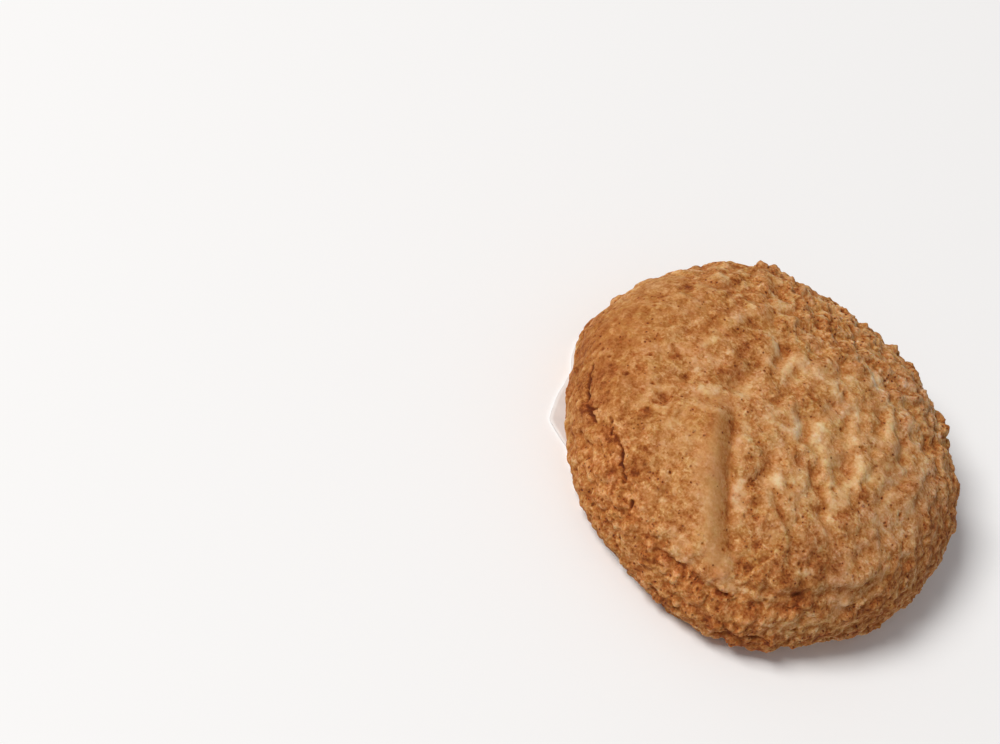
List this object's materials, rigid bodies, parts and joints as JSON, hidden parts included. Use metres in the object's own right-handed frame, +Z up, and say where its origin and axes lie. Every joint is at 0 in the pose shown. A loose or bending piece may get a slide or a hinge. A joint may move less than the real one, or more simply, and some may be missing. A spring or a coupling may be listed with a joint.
{
  "type": "coconut macaroon",
  "caption": "Round domed coconut macaroon with a browned, lumpy crust and a swirled top, on a thin sheet of edible wafer paper.",
  "frame": {"origin": "on the flat underside of the wafer paper, under the middle of the macaroon's bounding box", "axes": "+Z up through the domed top; +X towards the side where the swirl's edge reaches the rim; -Y towards the side with the seam over the crumbly skirt"},
  "size_m": [0.0768, 0.0744, 0.026],
  "materials": {
    "baked_crust": "dry, matt, crumbly baked crust",
    "wafer_paper": "dry, matt, smooth edible paper"
  },
  "bodies": {
    "root": {"macaroon": "baked_crust", "wafer_paper": "wafer_paper"}
  },
  "joints": []
}
